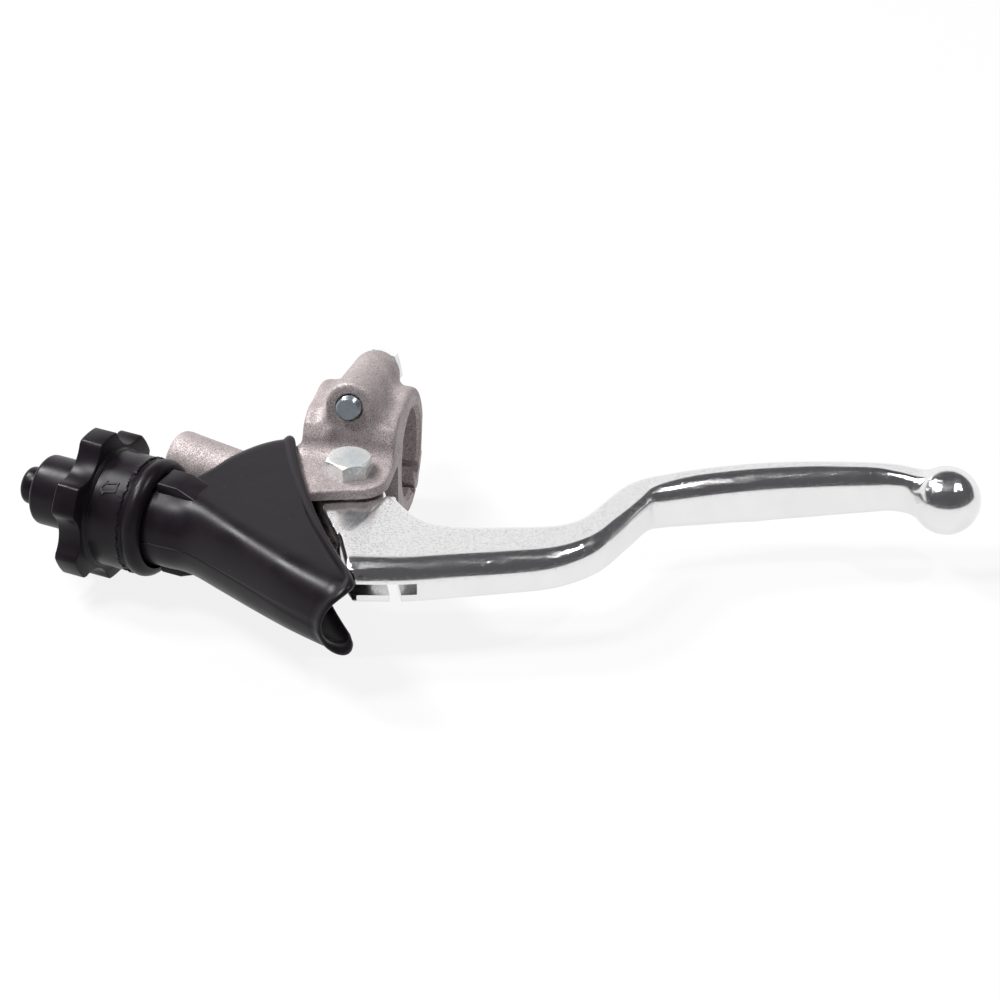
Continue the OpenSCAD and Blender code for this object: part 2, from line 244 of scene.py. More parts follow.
def boolean(obj, operation, *others):
    for other in others:
        m = obj.modifiers.new("b", "BOOLEAN")
        m.operation = operation
        m.solver = "MANIFOLD"
        m.object = other
        applied(obj)
        bpy.data.objects.remove(other)
    return obj


def cut(obj, *others):
    return boolean(obj, "DIFFERENCE", *others)


def union(obj, *others):
    return boolean(obj, "UNION", *others)


def common(obj, *others):
    return boolean(obj, "INTERSECT", *others)


def joined(obj, *others):
    """Puts several meshes in one object, still overlapping."""
    bm = bmesh.new()
    for o in (obj, *others):
        bm.from_mesh(o.data)
    bm.to_mesh(obj.data)
    bm.free()
    for o in others:
        bpy.data.objects.remove(o)
    return obj


def remesh(obj, size):
    m = obj.modifiers.new("r", "REMESH")
    m.mode = "VOXEL"
    m.voxel_size = size * MM
    return applied(obj)


def swell(obj, distance):
    m = obj.modifiers.new("d", "DISPLACE")
    m.strength = distance * MM
    m.mid_level = 0
    return applied(obj)


def relax(obj, times):
    m = obj.modifiers.new("s", "SMOOTH")
    m.factor = 0.5
    m.iterations = times
    return applied(obj)


def bevel(obj, width, segments=3, angle=30):
    m = obj.modifiers.new("v", "BEVEL")
    m.width = width * MM
    m.segments = segments
    m.limit_method = "ANGLE"
    m.angle_limit = math.radians(angle)
    m.use_clamp_overlap = True
    return applied(obj)


def shade(obj, angle=35):
    """Smooth shading with crisp edges above the angle."""
    obj.data.shade_smooth()
    obj.data.set_sharp_from_angle(angle=math.radians(angle))
    return obj


def curve(points, t):
    """Catmull-Rom curve through the points, t counts points from 0."""
    i = max(0, min(int(t), len(points) - 2))
    f = t - i
    a, b, c, d = (points[max(0, min(k, len(points) - 1))] for k in (i - 1, i, i + 1, i + 2))
    out = []
    for p, q, r, s in zip(a, b, c, d):
        out.append(0.5 * (2 * q + (r - p) * f + (2 * p - 5 * q + 4 * r - s) * f * f
                          + (3 * q - p - 3 * r + s) * f ** 3))
    return out


def linear(table, x):
    """Piecewise straight lookup in (x, value) rows."""
    for (x0, y0), (x1, y1) in zip(table, table[1:]):
        if x <= x1:
            return y0 + (y1 - y0) * max(0.0, (x - x0) / (x1 - x0))
    return table[-1][1]


# ---------------------------------------------------------------- casting

def quarter(n):
    """Angles of a quarter turn in n steps."""
    return [math.pi / 2 * k / n for k in range(n + 1)]


def rounded_start(r, z, e, n=6):
    """Profile points round the edge of a rod that starts at height z."""
    return [(r - e + e * math.sin(a), z + e - e * math.cos(a)) for a in quarter(n)]


def rounded_end(r, z, e, n=6):
    """Profile points round the edge of a rod that ends at height z."""
    return [(r - e + e * math.cos(a), z - e + e * math.sin(a)) for a in quarter(n)]


def ring_blank():
    half = CLAMP_HALF + 0.1
    r = RING_R + 0.15
    profile = [(0, -half)] + rounded_start(r, -half, 1.3) + rounded_end(r, half, 1.3)
    return revolve("ring", profile + [(0, half)], BAR)


def stub_blank():
    """Auxiliary boss, with the thin ridge where the halves of the die met."""
    ridge = [(STUB_R, 2.6), (STUB_R + 0.22, 2.8), (STUB_R, 3.0)]
    profile = [(0, 0)] + rounded_start(STUB_R, 0, 1.6) + ridge
    return revolve("stub", profile + [(STUB_R, STUB_LEN), (0, STUB_LEN)], STUB)


def boss_blank():
    """Boss round the clamp bolt, well rounded at the head's end."""
    r = 6.0
    foot = -19.6
    top = HEAD_SEAT + 0.2
    profile = [(0, foot), (r, foot)] + rounded_end(r, top, 2.3, 8)
    return revolve("boss", profile + [(0, top)], BOLT)


def ear_outline():
    """Ears seen along the pivot, with one round corner beside the bolt's head."""
    arc = [(4.3 + 7.5 * math.cos(math.radians(a)), -26 - 7.5 * math.sin(math.radians(a)))
           for a in range(10, 91, 10)]
    return [(11.8, -10), (11.8, -26)] + arc + [(-8, -37), (-12.5, -38.5), (-12.5, -10)]


ARM = [(-8, -10), (-7.9, -25), (-9, -30), (-10.6, -35), (-12.6, -44.8), (-14.2, -50.5),
       (-16, -54), (-24, -54), (-26, -38), (-17, -22), (-11.5, -12)]
SHOULDER = [(0.5, 12), (-2.5, 15.8), (-11, 16.4), (-15.4, 14.8), (-17.2, 12), (-17.9, 10.2),
            (-19.2, 8.7), (-21, 7.9), (-21, 6), (-17.6, 0), (-8, 0)]
BOSS_FOOT = [(-17.0, 14.6), (-17.9, 10), (-12, 8), (-8, 16)]
SLOT = [(13, -16), (-7.9, -16), (-7.9, -25), (-9, -30), (-10.6, -35), (-12, -42), (13, -42)]
VOXEL = 0.4
FILLET = 2.2


def casting():
    """Perch and cap in one, with the soft edges and fillets of a die casting."""
    body = joined(
        ring_blank(),
        boss_blank(),
        block("neck", (-6, 0, -12), (6, 10, 8), BOLT),
        prism("shoulder", SHOULDER, -CLAMP_HALF, CLAMP_HALF, BAR),
        prism("boss foot", BOSS_FOOT, -5, 5, BAR),
        prism("ears", ear_outline(), -EAR_TOP, EAR_TOP),
        prism("arm", ARM, -EAR_TOP, EAR_TOP),
        cylinder("spigot", 8.2, -24, 9, CABLE),
        stub_blank(),
    )
    remesh(body, VOXEL)
    swell(body, FILLET)
    remesh(body, VOXEL)
    swell(body, -FILLET)
    remesh(body, VOXEL)
    relax(body, 10)
    cut(
        body,
        bore_tool(),
        prism("gap", SLOT, -EAR_GAP, EAR_GAP),
        cylinder("pin hole", BOLT_R + 0.1, -20, 20, raised(0), 48),
        cylinder("hub room", 9.1, -EAR_GAP, EAR_GAP, raised(0)),
        cylinder("bolt hole", BOLT_R + 0.08, -25, 35, BOLT, 48),
        cylinder("recess", BOLT_R + 0.45, -26, -18.8, BOLT, 64),
        cylinder("screw hole", SCREW_R + 0.05, -40, 20, CABLE, 64),
        cylinder("socket", SOCKET_R, -1, 12, STUB, 64),
        block("head room", (-20, -20, HEAD_SEAT), (20, 20, 30), BOLT),
    )
    for side in (0, 180):
        cut(body, cylinder("detent hole", 1.22, 4.45, 10.5, detent_frame(side), 24))
    return body


def bore_tool():
    """The bar's space, flared where it leaves the clamp."""
    flare = 0.8
    wide = BAR_R + flare
    inner = CLAMP_HALF - flare
    profile = [(0, -20), (wide, -20), (wide, -CLAMP_HALF), (BAR_R, -inner), (BAR_R, inner),
               (wide, CLAMP_HALF), (wide, 20), (0, 20)]
    return revolve("bore", profile, BAR)


def beside_bar(reach, turn):
    """Frame along the bar, reach millimetres from it, turned round it from straight below."""
    return turned(turn, "X") @ Matrix.Translation((0, 0, -reach)) @ turned(90, "Y")


def rod_beside_bar(name, r, reach, turn):
    return cylinder(name, r, -20, 20, beside_bar(reach, turn), 48)


def behind_seams():
    """Space of the cap: from the seam over the bar round the back to the knuckle."""
    over = block("over", (-60, 0, -60), (60, 60, 60), turned(KNUCKLE_TILT, "X"))
    return common(block("rear half", (-60, -60, 0), (60, 60, 90), BOLT), over)


def split(body):
    """Perch in front of the seams and cap behind them, hinged on a knuckle."""
    cap = link("clamp_cap_cast", body.data.copy())
    spot = beside_bar((BAR_R + RING_R) / 2, KNUCKLE_TILT)
    knuckle = cylinder("knuckle", 2.4, -CLAMP_HALF, CLAMP_HALF, spot, 48)
    bevel(knuckle, 0.4, 3)
    common(cap, behind_seams())
    union(cap, knuckle)
    cut(cap, bore_tool(), rod_beside_bar("relief", 1.4, BAR_R, KNUCKLE_TILT + 11))
    cut(
        body,
        behind_seams(),
        cylinder("seat", 2.7, -20, 20, spot, 48),
        block("seat mouth", (-50, 0, -20), (50, 6, -11), turned(KNUCKLE_TILT - 7, "X")),
        rod_beside_bar("notch", 1.9, BAR_R + 0.7, KNUCKLE_TILT - 15),
    )
    body.name = "perch_cast"
    return shade(body), shade(cap)


# ---------------------------------------------------------------- lever

FRONT = [(11.1, -64.6), (23.1, -62.4), (34.1, -58.9), (46.8, -54.9), (55.3, -51.6), (61.2, -47.4),
         (66.1, -41.5), (69.8, -32.9), (73.6, -22.7), (76.3, -17.7), (84.9, -12.3), (97.9, -6.8),
         (111, -2.9), (124.2, -0.2), (129.5, 0), (136, -1.5)]
BACK = [(14, -30.5), (20, -38), (26, -41.4), (34, -41.2), (44, -39.2), (52.6, -37),
        (57, -34.6), (60.6, -29.8), (66, -17.2), (70, -11.8), (77, -7.3), (90, -1.2),
        (103, 3), (117, 5.7), (130, 7), (137, 6)]
UNDER = [(0, -3.6), (1.5, -3.6), (3, -3.2), (6, -2.9), (7, -2.8), (8, -2.9), (9, -4.6), (10, -6.1),
         (11, -6.9), (12, -6.4), (13, -5.2), (14, -4.3), (15, -4.0)]
ROLL = [(0, 4.8), (3, 4.6), (5, 3.8), (6.5, 3.0), (8, 2.8), (9, 3.5), (10, 4.6), (12, 4.4),
        (13, 3.6), (14, 2.6), (15, 2.4)]
RISE = [(0, 5.2), (4, 4.9), (7, 4.9), (9, 4.9), (11, 5.0), (14, 4.4), (15, 4.4)]
FOOT = [(0, 1.0), (4, 1.1), (8, 1.4), (10, 1.8), (15, 1.8)]
OPPOSITE = [(0, 0), (1, 0.9), (2, 2.35), (3, 3.75), (4, 4.65), (5, 5.6), (6, 6.35), (7, 7.3),
            (8, 8.5), (9, 9.45), (10, 10.45), (11, 11.4), (12, 12.4), (13, 13.45), (14, 14)]
BALL = Vector((142.4, 1.3, 0))
BALL_R = 8.3
TOP = 6.0
NECK_FILLET = 5.5
NECK_X = 130
ROOT_BOW = [(0, 0), (0.06, 1.82), (0.419, 7.6), (0.973, 1.9), (1, 0)]
ROOT_CORNER = 0.419
REAR_ROLL = [(0, 1.2), (8, 1.5), (15, 1.8)]
GRIP_END = 14
BLADE_STEPS = 12
BUSH_R = 5.0
WEB = [(-6, -28), (-2.2, -38), (3.4, -48.4), (5.6, -52), (16, -44), (13, -31.8), (10.2, -24)]


def chain(width, mid, edge, roll, rise, back):
    """Half of a section: from the middle of the front up or down, and round to the back.

    The edge is the top or the underside, roll and rise are the front corner's radii
    and back is the rear corner's radius.
    """
    up = 1 if edge > 0 else -1
    points = [(0, mid + (edge - up * rise - mid) * k / 3) for k in range(3)]
    for a in quarter(12):
        points.append((roll - roll * math.cos(a), edge - up * rise * (1 - math.sin(a))))
    span = width - back
    bend = max(roll + 0.5, min(ROOT_CORNER * width, span - 0.5))
    for k in range(1, 8):
        points.append((roll + (bend - roll) * k / 7, edge))
    for k in range(1, 15):
        points.append((bend + (span - bend) * k / 15, edge))
    for a in quarter(6):
        points.append((span + back * math.sin(a), edge - up * back * (1 - math.cos(a))))
    points.append((width, (edge - up * back + mid) / 2))
    points.append((width, mid))
    return points


def section(width, t):
    """Closed section of the lever, (distance from the front, height) points."""
    under = linear(UNDER, t)
    roll = linear(ROLL, t)
    rise = linear(RISE, t)
    foot = linear(FOOT, t)
    mid = (TOP - rise + under + foot) / 2
    rear = min(linear(REAR_ROLL, t), 0.3 * (width - roll) + 0.3)
    upper = chain(width, mid, TOP, roll, rise, rear)
    lower = chain(width, mid, under, foot, foot, foot)
    return upper + lower[1:-1][::-1]


def lever_ring(front, back, t, bow=0.0, pinch=None):
    """Ring of points across the lever at station t.

    The bow is how far the ring follows the root's bent end face, and pinch is the angle
    round the end face's rounded edge.
    """
    width = (back - front).length
    along = (back - front) / width
    left = Vector((-along.y, along.x))
    under = linear(UNDER, t)
    out = []
    for a, z in section(width, t):
        shift = bow * linear(ROOT_BOW, a / width)
        if pinch is not None:
            reach = 1.5 if a / width < ROOT_CORNER else 0.6
            shift += reach * (math.sin(pinch) - 1)
            drop = reach * (1 - math.cos(pinch))
            z = max(under + drop, min(TOP - drop, z))
        p = front + along * a + left * shift
        out.append(Vector((p.x, p.y, z)))
    return out


def root_rings():
    """Rounded edge of the end face that shows beside the boot."""
    front = Vector(FRONT[0])
    back = Vector(BACK[0])
    return [lever_ring(front, back, 0, 1.0, math.pi / 2 * k / 8) for k in range(8, 0, -1)]


def blade_rings():
    """Rings from the root to the end of the grip."""
    rings = []
    for k in range(2, GRIP_END * BLADE_STEPS):
        t = k / BLADE_STEPS
        front = Vector(curve(FRONT, t))
        back = Vector(curve(BACK, linear(OPPOSITE, t)))
        rings.append(lever_ring(front, back, t, max(0.0, 1 - t) ** 2 * 0.999))
    return rings


def ball_stations():
    """Places along X of the rings from the grip's end over the ball."""
    x0 = FRONT[GRIP_END][0]
    switch = 137
    stations = [x0 + 0.25 * k for k in range(1, int((switch - x0) / 0.25) + 1)]
    start = math.acos((BALL.x - switch) / BALL_R)
    for k in range(1, 40):
        a = start + math.radians(4) * k
        if a < math.radians(176):
            stations.append(BALL.x - BALL_R * math.cos(a))
    return stations


def neck_radius(x, r):
    """Radius at x of a bar of radius r that runs into the ball through a fillet."""
    reach = math.sqrt(max(0.0, (BALL_R + NECK_FILLET) ** 2 - (r + NECK_FILLET) ** 2))
    start = BALL.x - reach
    end = BALL.x - reach * BALL_R / (BALL_R + NECK_FILLET)
    if x <= start:
        return r
    if x < end:
        return r + NECK_FILLET - math.sqrt(max(0.0, NECK_FILLET ** 2 - (x - start) ** 2))
    return math.sqrt(max(0.0, BALL_R ** 2 - (x - BALL.x) ** 2))


def ball_rings():
    """Rings that turn from the grip's section to the ball's circle."""
    rings = []
    for x in ball_stations():
        blend = min(1.0, (x - NECK_X) / 6)
        t = GRIP_END + blend
        y0 = curve(FRONT, t)[1]
        y1 = curve(BACK, t)[1]
        centre = Vector((x, (y0 + y1) / 2, 0.85)).lerp(Vector((x, BALL.y, 0)), blend)
        out = []
        for p in lever_ring(Vector((x, y0)), Vector((x, y1)), t):
            d = p - centre
            out.append(centre + d.normalized() * neck_radius(x, d.length))
        rings.append(out)
    return rings


def root_face(n):
    """Strip of faces that closes the first ring, from its upper to its lower half."""
    half = (n + 2) // 2
    low = [0] + [n - k for k in range(1, half - 1)] + [half - 1]
    strip = [without_repeats([k, k + 1, low[k + 1], low[k]]) for k in range(half - 1)]
    return [face for face in strip if len(face) > 2]


def lever_blade():
    rings = root_rings() + blade_rings() + ball_rings()
    n = len(rings[0])
    points, faces = skin(rings)
    faces += root_face(n)
    tip = len(points)
    base = tip - n
    points.append(BALL + Vector((BALL_R, 0, 0)))
    faces += [[base + k, base + (k + 1) % n, tip] for k in range(n)]
    blade = solid("lever_polished", points, faces)
    hub = cylinder("hub", 8.5, -5.2, 5.2, raised(0), 128)
    web = prism("web", WEB, -5.2, 4.9)
    bevel(web, 1.6, 5, 50)
    bevel(hub, 0.5, 3)
    union(blade, web, hub)
    nipple = Matrix.Translation(NIPPLE)
    cut(
        blade,
        cylinder("bush hole", BUSH_R, -10, 10, raised(0), 96),
        cylinder("pocket", NIPPLE_R, -6, 2.4, nipple, 64),
        block("gap", (-1.3, -20, -9), (1.3, 0, -1), nipple @ turned(20, "Z")),
        block("slot", (-30, -20, -1.45), (9.3, 0, 1.45), nipple),
    )
    return shade(blade, 32)


# ---------------------------------------------------------------- boot

def cable_xy(s, w):
    p = CABLE @ Vector((0, w, s))
    return (p.x, p.y)


TUBE = 10.8
WALL = 1.4
BOOT_END = 6
BEAD_R = 1.3
BOOT_FRONT = [cable_xy(3, TUBE), cable_xy(-4, TUBE), (-31, -55.8), (-22, -61.5), (-12, -68.7),
              (-3, -75.4), (7.4, -82.2)]
BOOT_BACK = [cable_xy(3, -TUBE), cable_xy(-4, -TUBE), (-29.8, -28.5), (-27.5, -22.5),
             (-23.5, -16.8), (-19.6, -13.6), (-15.5, -12)]
BOOT_SHAPE = [(TUBE, TUBE - 0.3), (TUBE, TUBE - 0.3), (10.6, 8.5), (10.3, 7), (10, 6),
              (9.8, 5), (9.8, 4.5)]


def boot_section(w, h, rb, square):
    """Section with a round or squarer front and rounded back corners, thin seam at the front."""
    points = []
    steps = [90 - 6.5 * k for k in range(13)] + [4, 2.2, 1.1, 0.4, 0]
    angles = [180 + a for a in steps] + [180 - a for a in steps[-2::-1]]
    for a in angles:
        r = h - (0.16 if abs(a - 180) < 0.6 else 0)
        c = math.cos(math.radians(a))
        e = math.sin(math.radians(a))
        x = -abs(c) ** (2 / square)
        z = math.copysign(abs(e) ** (2 / square), e)
        points.append((h + r * x, r * z))
    for k in range(1, 24):
        points.append((h + (w - rb - h) * k / 24, h))
    for k in range(11):
        a = math.radians(90 - 9 * k)
        points.append((w - rb + rb * math.cos(a), h - rb + rb * math.sin(a)))
    for k in range(1, 8):
        points.append((w, (h - rb) * (1 - 2 * k / 8)))
    for k in range(11):
        a = math.radians(-9 * k)
        points.append((w - rb + rb * math.cos(a), rb - h + rb * math.sin(a)))
    for k in range(1, 24):
        points.append((w - rb + (h - w + rb) * k / 24, -h))
    return points


def boot_ring(t, inset):
    """Ring of points round the boot at station t. Its lips lean out towards the mouth."""
    f = Vector(curve(BOOT_FRONT, t))
    k = Vector(curve(BOOT_BACK, t))
    h, rb = curve(BOOT_SHAPE, t)
    h -= inset
    rb = max(1.5, rb - inset)
    span = (k - f).length
    along = (k - f) / span
    u = max(0.0, (t / BOOT_END - 0.3) / 0.7)
    out = []
    for q, z in boot_section(span - 2 * inset, h, rb, 2 + 2.2 * u * u):
        p = f + along * (q + inset)
        share = max(0.0, min((span - q) / span, 1))
        lead = 11.5 if z > 0 else 10.5
        reach = lead * u * u * share ** 2.5 * (1 - math.sqrt(max(0.0, 1 - (z / h) ** 2)))
        if z < 0:
            z *= 1 - 0.17 * u * u
        out.append(Vector((p.x + reach + 0.6 * u * u, p.y, z)))
    return out


def boot_bead(near, outer, inner):
    """Small round roll between the outer and the inner skin of the mouth, as rows of points.

    The first row is the groove behind the roll.
    """
    angles = range(130, -131, -20)
    rows = [[] for _ in range(len(angles) + 1)]
    for behind, edge, inside in zip(near, outer, inner):
        along = (edge - behind).normalized()
        across = (edge - inside).normalized()
        rim = (edge + inside) / 2
        rows[0].append(rim - along * 2.8 + across * 0.5)
        middle = rim - along * 1.1 + across * 0.2
        for row, a in zip(rows[1:], angles):
            c = math.cos(math.radians(a))
            e = math.sin(math.radians(a))
            row.append(middle + along * (BEAD_R * c) + across * (BEAD_R * e))
    return rows


def boot_lug(side):
    outline = [(9.4, -0.5), (12.3, -0.5), (12.3, -6), (9.4, -13.2)]
    return bevel(prism("lug", outline, -4, 4, CABLE @ turned(side, "Z") @ turned(90, "X")), 0.7, 4)


def dust_boot():
    """Soft shell with a rolled bead round its mouth."""
    times = [BOOT_END * k / 72 for k in range(67)] + [5.56, 5.62]
    outer = [boot_ring(t, 0) for t in times]
    inner = [boot_ring(t, WALL) for t in times]
    bead = boot_bead(outer[-1], boot_ring(BOOT_END, 0), boot_ring(BOOT_END, WALL))
    points, faces = skin(outer + bead + inner[::-1], loop=True)
    boot = solid("dust_boot_rubber", points, faces)
    for side in (0, 180):
        union(boot, boot_lug(side))
    cut(
        boot,
        cylinder("way out", 7.3, -5, 33, STUB),
        block("back gap", (-31, -22, -7.3), (-9, -9, 7.3)),
    )
    return shade(boot, 40)


# ---------------------------------------------------------------- adjuster

SKIRT_R = 14.0
SKIRT_BEAD = 2.4
STAR_R = 18.9
STAR_Z = (14.2, 20.2)
LOBES = 6
LOBE_HALF = 3.3
HOLLOW_R = 7.8
TAIL_R = 8.6
SEAL_R = 4.6
CABLE_R = 2.6


def star_outline():
    """Flat-tipped lobes with round hollows between them."""
    out = []
    step = 2 * math.pi / LOBES
    half = math.asin(LOBE_HALF / STAR_R)
    for lobe in range(LOBES):
        mid = step * lobe
        for k in range(5):
            a = mid - half + 2 * half * k / 4
            out.append((STAR_R * math.cos(a), STAR_R * math.sin(a)))
        out += hollow(mid + step / 2, mid + half, mid + step - half)
    return out


def hollow(middle, start, end):
    """Arc between two lobes, round a centre outside the star."""
    cx = (STAR_R + 4.2) * math.cos(middle)
    cy = (STAR_R + 4.2) * math.sin(middle)
    a0 = math.atan2(STAR_R * math.sin(start) - cy, STAR_R * math.cos(start) - cx)
    a1 = math.atan2(STAR_R * math.sin(end) - cy, STAR_R * math.cos(end) - cx)
    while a1 > a0:
        a1 -= 2 * math.pi
    angles = [a0 + (a1 - a0) * k / 14 for k in range(1, 14)]
    return [(cx + HOLLOW_R * math.cos(a), cy + HOLLOW_R * math.sin(a)) for a in angles]


def skirt_profile():
    """Outside of skirt and tail, from the open end to the tail's end."""
    profile = []
    for k in range(13):
        a = math.radians(-90 + 15 * k)
        r = SKIRT_R + 0.3 - SKIRT_BEAD + SKIRT_BEAD * math.cos(a)
        z = SKIRT_BEAD + SKIRT_BEAD * math.sin(a)
        if z <= 4.4:
            profile.append((r, z))
    profile += [(13.75, 4.55), (13.8, 4.85), (13.98, 4.95), (14.12, 5.05), (13.98, 5.15)]
    profile += [(SKIRT_R, z) for z in (5.4, 7, 9, 11, 12.6)]
    profile += [(14.05, 13.0), (14.3, 13.15), (14.1, 13.3), (14.25, 13.7), (14.5, 14.1)]
    return profile + [(14.9, 14.3)]


def flash(r, z, a):
    """Ragged moulding line round the skirt."""
    if 4.9 < z < 5.2 and r > 13.9:
        wave = noise.noise(Vector((7 * math.cos(a), 7 * math.sin(a), 3)))
        fine = noise.noise(Vector((40 * math.cos(a), 40 * math.sin(a), 8)))
        z += 0.6 * wave + 0.45 * fine
        r += 0.1 + 0.25 * fine
    return r, z


def wrapped(outline, r0, r1, s0, turn, tilt):
    """Plate over an (along, around) outline, laid on the skirt."""
    rows = []
    for r in (r0, r1):
        angles = [math.radians(turn) + (w - tilt * s) / SKIRT_R for s, w in outline]
        rows.append([(r * math.cos(a), r * math.sin(a), s0 + s)
                     for a, (s, w) in zip(angles, outline)])
    points, sides = skin(rows)
    return solid("mark", points, end_caps(rows) + sides, CABLE)


def turn_mark():
    """Raised outline of an arrow on the skirt, pointing to the star wheel."""
    place = (9.6, 141.5, 0.25)
    outer = [(2.3, 0), (0.8, 1.9), (0.8, 1.3), (-2.2, 1.3), (-2.2, -1.3), (0.8, -1.3), (0.8, -1.9)]
    inner = [(1.7, 0), (1.15, 0.7), (1.15, 0.9), (-1.85, 0.9), (-1.85, -0.9), (1.15, -0.9),
             (1.15, -0.7)]
    mark = wrapped(outer, SKIRT_R - 0.3, SKIRT_R + 0.25, *place)
    return cut(mark, wrapped(inner, SKIRT_R - 0.05, SKIRT_R + 0.6, *place))


def dial_cover():
    """Skirt, star wheel and tail in one rubber moulding."""
    end = 33.1
    profile = skirt_profile() + [(14.9, 19.6), (TAIL_R, 19.6), (TAIL_R, end - 1.2)]
    profile += rounded_end(TAIL_R, end, 1.2, 5)
    profile += [(4.7, end), (4.7, 19.2), (7.2, 19.2), (7.2, 14.2), (12, 14.2), (12, 0.25)]
    core = revolve("dial_cover_rubber", profile, CABLE, 288, flash)
    star = prism("star", star_outline(), STAR_Z[0], STAR_Z[1], CABLE)
    bevel(star, 0.35, 3, 25)
    cut(star, cylinder("star hole", 13, 0, 25, CABLE))
    union(core, star, turn_mark())
    return shade(core, 28)


def cable_seal():
    """Soft nose round the cable, with a shallow groove."""
    end = 38.2
    groove = SEAL_R - 0.1
    profile = [(CABLE_R, 21.4), (SEAL_R, 21.4), (SEAL_R, 33.4), (groove, 33.7), (groove, 34.2),
               (SEAL_R, 34.5)]
    profile += rounded_end(SEAL_R, end, 1.5)
    profile += [(CABLE_R + 0.3, end), (CABLE_R, end - 0.3)]
    return shade(revolve("cable_seal_rubber", profile, CABLE, 96), 40)


# ---------------------------------------------------------------- fasteners

HEX = 10.0
HEAD_HEIGHT = 4.0
NUT_HEIGHT = 5.5


def thread(r, z, a, pitch, depth):
    """Radius of a screw thread at height z and angle a."""
    turn = (z / pitch - a / (2 * math.pi)) % 1
    return r - depth * (1 - abs(2 * turn - 1))


def threaded_rod(name, r, z0, z1, pitch, depth, matrix, chamfer=0.6, n=60, bore=0.0):
    """Rod or tube with a helical thread from z0 to z1, chamfered at both ends."""
    steps = max(4, int((z1 - z0) / (pitch / 8)))
    rows = []
    for i in range(steps + 1):
        z = z0 + (z1 - z0) * i / steps
        end = min(z - z0, z1 - z)
        row = []
        for k in range(n):
            a = 2 * math.pi * k / n
            at = min(thread(r, z, a, pitch, depth), r - chamfer + end)
            row.append((at * math.cos(a), at * math.sin(a), z))
        rows.append(row)
    if bore:
        hole = circle(bore, n)
        rows += [[(x, y, z1) for x, y in hole], [(x, y, z0) for x, y in hole]]
        points, faces = skin(rows, loop=True)
    else:
        points, faces = skin(rows)
        faces += end_caps(rows)
    return solid(name, points, faces, matrix)


def hex_ring(af, cut_r, height, n=12):
    """(x, y, z) round a hexagon whose corners are cut by a 30 degree cone."""
    out = []
    for side in range(6):
        for k in range(n):
            a = math.radians(60 * side + 60 * k / n)
            r = af / 2 / math.cos(a % (math.pi / 3) - math.pi / 6)
            z = height - max(0.0, r - cut_r) * math.tan(math.radians(30))
            out.append((r * math.cos(a), r * math.sin(a), z))
    return out


def at_radius(ring, r, z):
    """The ring's directions at one radius and height."""
    return [(r * x / math.hypot(x, y), r * y / math.hypot(x, y), z) for x, y, _ in ring]


def hex_head(name, height, matrix, bore=0.0, both=False):
    """Hexagon head or nut with curved chamfers on its top, or on both ends."""
    cut_r = HEX / 2 - 0.12
    top = hex_ring(HEX, cut_r, height)
    bottom = [(x, y, height - z if both else 0.0) for x, y, z in top]
    rows = [at_radius(top, cut_r, 0.0), bottom, top, at_radius(top, cut_r, height)]
    if bore:
        rows += [at_radius(top, bore * 1.08, height), at_radius(top, bore, height - 0.3),
                 at_radius(top, bore, 0.3), at_radius(top, bore * 1.08, 0.0)]
        points, faces = skin(rows, loop=True)
    else:
        points, faces = skin(rows)
        faces += end_caps(rows)
    return solid(name, points, faces, matrix)


def hex_bolt(name, length, thread_len, matrix):
    """Head above z = 0, plain shank and rolled thread below it."""
    r = BOLT_R - 0.02
    head = hex_head(name, HEAD_HEIGHT, matrix)
    shank = cylinder("shank", r, -length + thread_len - 0.3, 0.3, matrix, 60)
    screw = threaded_rod("screw", r, -length, -length + thread_len, 1.0, 0.45, matrix, 0.5)
    union(head, shank, screw)
    return shade(head, 12)


def clamp_bolt():
    seat = BOLT @ Matrix.Translation((0, 0, HEAD_SEAT)) @ turned(15, "Z")
    return hex_bolt("clamp_bolt_hex", 35, 22, seat)


def pivot_bolt():
    return hex_bolt("pivot_bolt_hex", 25, 9, raised(EAR_TOP) @ turned(-93, "Z"))


def pivot_nut():
    """Lock nut under the lower ear, with room for its nylon ring."""
    place = raised(-EAR_TOP - NUT_HEIGHT)
    nut = hex_head("pivot_nut_hex", NUT_HEIGHT, place, bore=BOLT_R + 0.02, both=True)
    cut(nut, cylinder("insert room", 4.0, -0.2, 1.2, place, 60))
    return shade(nut, 12)


def adjuster_screw():
    """Hollow threaded rod with the flange that the hub sits on."""
    rod = threaded_rod("adjuster_screw_thread", SCREW_R, -12, 14.4, 1.25, 0.6, CABLE, 0.6, 72, 1.5)
    flange = [(1.5, 14.2), (7.0, 14.2), (7.2, 14.4), (7.2, 20.0), (7.0, 20.2), (1.5, 20.2)]
    union(rod, revolve("flange", flange, CABLE))
    cut(rod, cylinder("seat room", 3.15, 11.2, 22, CABLE, 64))
    return shade(rod, 35)


def coil_rings(coils, steps, r, wire, z0, z1):
    """Rings of eight points along a coil spring's wire."""
    rings = []
    for i in range(steps + 1):
        a = 2 * math.pi * coils * i / steps
        out = Vector((math.cos(a), math.sin(a), 0))
        middle = r * out + Vector((0, 0, z0 + (z1 - z0) * i / steps))
        around = [math.pi / 4 * k for k in range(8)]
        rings.append([middle + wire * (out * math.cos(b) + Vector((0, 0, 1)) * math.sin(b))
                      for b in around])
    return rings


def detent_springs():
    """Two small coil springs behind the balls."""
    rings = coil_rings(3.0, 90, 0.8, 0.17, 4.66, 5.81)
    points, sides = skin(rings)
    faces = end_caps(rings) + sides
    springs = [solid("detent_springs_coil", points, faces, detent_frame(side)) for side in (0, 180)]
    return shade(joined(*springs), 50)


# ---------------------------------------------------------------- materials

